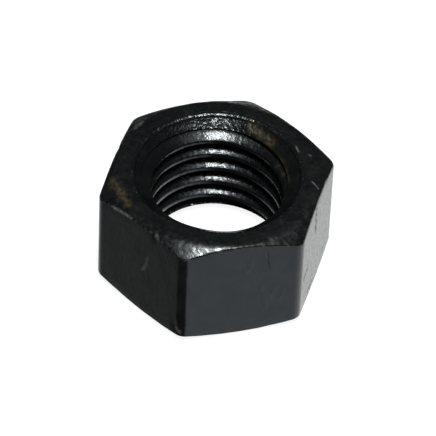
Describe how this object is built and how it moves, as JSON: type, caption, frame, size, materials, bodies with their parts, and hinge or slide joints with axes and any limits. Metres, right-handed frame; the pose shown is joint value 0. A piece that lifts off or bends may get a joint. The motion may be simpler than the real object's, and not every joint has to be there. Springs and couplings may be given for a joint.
{
  "type": "hex nut",
  "caption": "Plain hexagon nut with a coarse metric thread, chamfered on both faces, in black oxide steel.",
  "frame": {"origin": "centre of the lower bearing face, on the thread axis", "axes": "+Z along the thread axis towards the upper bearing face, X through two corners, Y through two wrench flats"},
  "size_m": [0.025, 0.022, 0.0128],
  "materials": {
    "black_oxide_steel": "black oxide on forged steel, satin, slightly worn on the edges"
  },
  "bodies": {
    "root": {"nut_body": "black_oxide_steel"}
  },
  "joints": []
}
